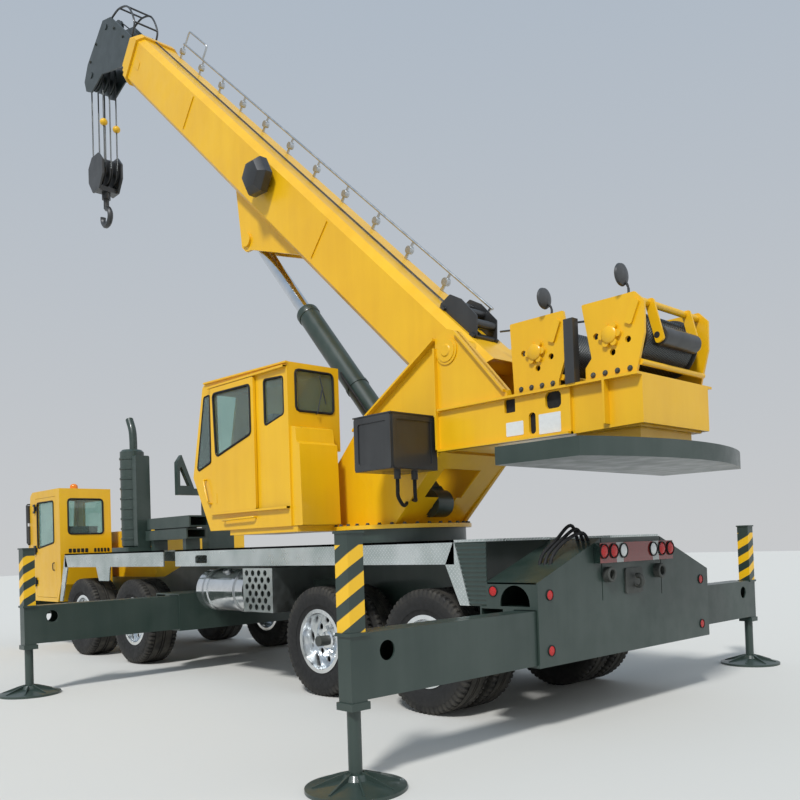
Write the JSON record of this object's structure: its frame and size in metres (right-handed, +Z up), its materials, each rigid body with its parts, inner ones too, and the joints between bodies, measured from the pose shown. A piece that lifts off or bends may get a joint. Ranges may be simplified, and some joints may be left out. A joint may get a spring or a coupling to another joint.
{
  "type": "four-axle truck crane",
  "caption": "Truck-mounted telescopic crane with slewing upper, lift cylinder, winches, hook block, operator's and driver's cabs and box outriggers on jacks.",
  "frame": {"origin": "bottom centre of the box round the whole crane, at ground level", "axes": "+X towards the driver's cab, +Y to the crane's left, +Z up"},
  "size_m": [10.975, 6.59, 10.1783],
  "materials": {
    "yellow_paint": "gloss enamel",
    "green_grey_paint": "satin enamel",
    "black_paint": "satin enamel",
    "aluminium": "tread plate",
    "polished_alloy": "polished",
    "chrome_rod": "polished",
    "tyre": "matte",
    "glass": "clear tinted",
    "interior": "matte",
    "lamp": "gloss",
    "cast_steel": "rough"
  },
  "bodies": {
    "carrier": {"chassis": "green_grey_paint", "outrigger_boxes": "green_grey_paint", "decks": "aluminium", "axles": "cast_steel", "fuel_tank": "aluminium", "step_box": "aluminium", "exhaust_stack": "green_grey_paint", "deck_stowage": "green_grey_paint", "engine_hood": "yellow_paint", "engine": "cast_steel", "driver_cab": "yellow_paint", "driver_cab_glass": "glass", "driver_cab_interior": "interior", "lamps": "lamp"},
    "carrier_door": {"driver_door": "yellow_paint"},
    "upper": {"upper_frame": "yellow_paint", "counterweight": "green_grey_paint", "valve_box": "black_paint", "hoist_frames": "yellow_paint", "winch_drums": "black_paint", "operator_cab": "yellow_paint", "operator_cab_glass": "glass", "operator_cab_interior": "interior"},
    "upper_door": {"operator_door": "yellow_paint"},
    "boom_base": {"boom_1": "yellow_paint"},
    "boom_second": {"boom_2": "yellow_paint"},
    "boom_third": {"boom_3": "yellow_paint"},
    "boom_head": {"boom_4": "yellow_paint"},
    "cylinder_barrel": {"lift_barrel": "green_grey_paint"},
    "cylinder_rod": {"lift_rod": "chrome_rod"},
    "block": {"hook_block": "black_paint"},
    "load_hook": {"hook": "black_paint"},
    "outrigger_rear_left": {"beam_rear_left": "green_grey_paint"},
    "leg_rear_left": {"jack_rear_left": "chrome_rod"},
    "outrigger_rear_right": {"beam_rear_right": "green_grey_paint"},
    "leg_rear_right": {"jack_rear_right": "chrome_rod"},
    "outrigger_front_left": {"beam_front_left": "green_grey_paint"},
    "leg_front_left": {"jack_front_left": "chrome_rod"},
    "outrigger_front_right": {"beam_front_right": "green_grey_paint"},
    "leg_front_right": {"jack_front_right": "chrome_rod"},
    "steered_1_left": {"knuckle_1_left": "cast_steel"},
    "wheel_1_left": {"tyre_1_left": "tyre", "rim_1_left": "polished_alloy"},
    "steered_1_right": {"knuckle_1_right": "cast_steel"},
    "wheel_1_right": {"tyre_1_right": "tyre", "rim_1_right": "polished_alloy"},
    "steered_2_left": {"knuckle_2_left": "cast_steel"},
    "wheel_2_left": {"tyre_2_left": "tyre", "rim_2_left": "polished_alloy"},
    "steered_2_right": {"knuckle_2_right": "cast_steel"},
    "wheel_2_right": {"tyre_2_right": "tyre", "rim_2_right": "polished_alloy"},
    "wheel_3_left": {"tyre_3_left": "tyre", "rim_3_left": "polished_alloy"},
    "wheel_3_right": {"tyre_3_right": "tyre", "rim_3_right": "polished_alloy"},
    "wheel_4_left": {"tyre_4_left": "tyre", "rim_4_left": "polished_alloy"},
    "wheel_4_right": {"tyre_4_right": "tyre", "rim_4_right": "polished_alloy"}
  },
  "joints": [
    {"name": "slew", "type": "hinge", "parent": "carrier", "child": "upper", "pos_m": [-2.0375, 0, 1.6], "axis": [0, 0, 1], "continuous": true},
    {"name": "boom_luff", "type": "hinge", "parent": "upper", "child": "boom_base", "pos_m": [-3.3155, 0, 3.21], "axis": [0, -1, 0], "range_deg": [-45.5, 35.5]},
    {"name": "tele_2", "type": "slide", "parent": "boom_base", "child": "boom_second", "axis": [0.7373, 0, 0.6756], "range_m": [0, 7.57]},
    {"name": "tele_3", "type": "slide", "parent": "boom_second", "child": "boom_third", "axis": [0.7373, 0, 0.6756], "range_m": [0, 7.57]},
    {"name": "tele_4", "type": "slide", "parent": "boom_third", "child": "boom_head", "axis": [0.7373, 0, 0.6756], "range_m": [0, 7.57]},
    {"name": "lift_barrel_turn", "type": "hinge", "parent": "upper", "child": "cylinder_barrel", "pos_m": [-2.5875, 0, 1.846], "axis": [0, -1, 0], "range_deg": [-41.28, 32.23]},
    {"name": "lift_rod_slide", "type": "slide", "parent": "cylinder_barrel", "child": "cylinder_rod", "axis": [0.6497, 0, 0.7602], "range_m": [-1.1278, 0.8804]},
    {"name": "hook_level", "type": "hinge", "parent": "boom_head", "child": "block", "pos_m": [4.92702, 0, 9.46079], "axis": [0, -1, 0], "range_deg": [-35.5, 45.5]},
    {"name": "hook_swivel", "type": "hinge", "parent": "block", "child": "load_hook", "pos_m": [4.92702, 0, 7.85], "axis": [0, 0, 1], "continuous": true},
    {"name": "outrigger_slide_rear_left", "type": "slide", "parent": "carrier", "child": "outrigger_rear_left", "axis": [0, 1, 0], "range_m": [-1.59, 0.35]},
    {"name": "jack_slide_rear_left", "type": "slide", "parent": "outrigger_rear_left", "child": "leg_rear_left", "axis": [0, 0, 1], "range_m": [0, 0.36]},
    {"name": "outrigger_slide_rear_right", "type": "slide", "parent": "carrier", "child": "outrigger_rear_right", "axis": [0, -1, 0], "range_m": [-1.59, 0.35]},
    {"name": "jack_slide_rear_right", "type": "slide", "parent": "outrigger_rear_right", "child": "leg_rear_right", "axis": [0, 0, 1], "range_m": [0, 0.36]},
    {"name": "outrigger_slide_front_left", "type": "slide", "parent": "carrier", "child": "outrigger_front_left", "axis": [0, 1, 0], "range_m": [-1.59, 0.35]},
    {"name": "jack_slide_front_left", "type": "slide", "parent": "outrigger_front_left", "child": "leg_front_left", "axis": [0, 0, 1], "range_m": [0, 0.36]},
    {"name": "outrigger_slide_front_right", "type": "slide", "parent": "carrier", "child": "outrigger_front_right", "axis": [0, -1, 0], "range_m": [-1.59, 0.35]},
    {"name": "jack_slide_front_right", "type": "slide", "parent": "outrigger_front_right", "child": "leg_front_right", "axis": [0, 0, 1], "range_m": [0, 0.36]},
    {"name": "steer_1_left", "type": "hinge", "parent": "carrier", "child": "steered_1_left", "pos_m": [3.4225, 0.7, 0.548], "axis": [0, 0, 1], "range_deg": [-30, 30]},
    {"name": "spin_1_left", "type": "hinge", "parent": "steered_1_left", "child": "wheel_1_left", "pos_m": [3.4225, 1.03, 0.548], "axis": [0, 1, 0], "continuous": true},
    {"name": "steer_1_right", "type": "hinge", "parent": "carrier", "child": "steered_1_right", "pos_m": [3.4225, -0.7, 0.548], "axis": [0, 0, 1], "range_deg": [-30, 30]},
    {"name": "spin_1_right", "type": "hinge", "parent": "steered_1_right", "child": "wheel_1_right", "pos_m": [3.4225, -1.03, 0.548], "axis": [0, 1, 0], "continuous": true},
    {"name": "steer_2_left", "type": "hinge", "parent": "carrier", "child": "steered_2_left", "pos_m": [1.8425, 0.7, 0.548], "axis": [0, 0, 1], "range_deg": [-23, 23]},
    {"name": "spin_2_left", "type": "hinge", "parent": "steered_2_left", "child": "wheel_2_left", "pos_m": [1.8425, 1.03, 0.548], "axis": [0, 1, 0], "continuous": true},
    {"name": "steer_2_right", "type": "hinge", "parent": "carrier", "child": "steered_2_right", "pos_m": [1.8425, -0.7, 0.548], "axis": [0, 0, 1], "range_deg": [-23, 23]},
    {"name": "spin_2_right", "type": "hinge", "parent": "steered_2_right", "child": "wheel_2_right", "pos_m": [1.8425, -1.03, 0.548], "axis": [0, 1, 0], "continuous": true},
    {"name": "spin_3_left", "type": "hinge", "parent": "carrier", "child": "wheel_3_left", "pos_m": [-2.0975, 1.07, 0.528], "axis": [0, 1, 0], "continuous": true},
    {"name": "spin_3_right", "type": "hinge", "parent": "carrier", "child": "wheel_3_right", "pos_m": [-2.0975, -1.07, 0.528], "axis": [0, 1, 0], "continuous": true},
    {"name": "spin_4_left", "type": "hinge", "parent": "carrier", "child": "wheel_4_left", "pos_m": [-3.5475, 1.07, 0.528], "axis": [0, 1, 0], "continuous": true},
    {"name": "spin_4_right", "type": "hinge", "parent": "carrier", "child": "wheel_4_right", "pos_m": [-3.5475, -1.07, 0.528], "axis": [0, 1, 0], "continuous": true},
    {"name": "driver_door_swing", "type": "hinge", "parent": "carrier", "child": "carrier_door", "pos_m": [5.0195, 1.266, 1.5], "axis": [0, 0, -1], "range_deg": [0, 70]},
    {"name": "operator_door_slide", "type": "slide", "parent": "upper", "child": "upper_door", "axis": [-1, 0, 0], "range_m": [0, 0.55]}
  ],
  "couplings": [
    {"joint": "tele_3", "follows": "tele_2", "ratio": 1},
    {"joint": "tele_4", "follows": "tele_2", "ratio": 1},
    {"joint": "lift_barrel_turn", "follows": "boom_luff", "ratio": 0.905},
    {"joint": "lift_rod_slide", "follows": "boom_luff", "m_per_rad": 1.4177},
    {"joint": "hook_level", "follows": "boom_luff", "ratio": -1},
    {"joint": "steer_1_right", "follows": "steer_1_left", "ratio": 1},
    {"joint": "steer_2_left", "follows": "steer_1_left", "ratio": 0.75},
    {"joint": "steer_2_right", "follows": "steer_1_left", "ratio": 0.75}
  ]
}
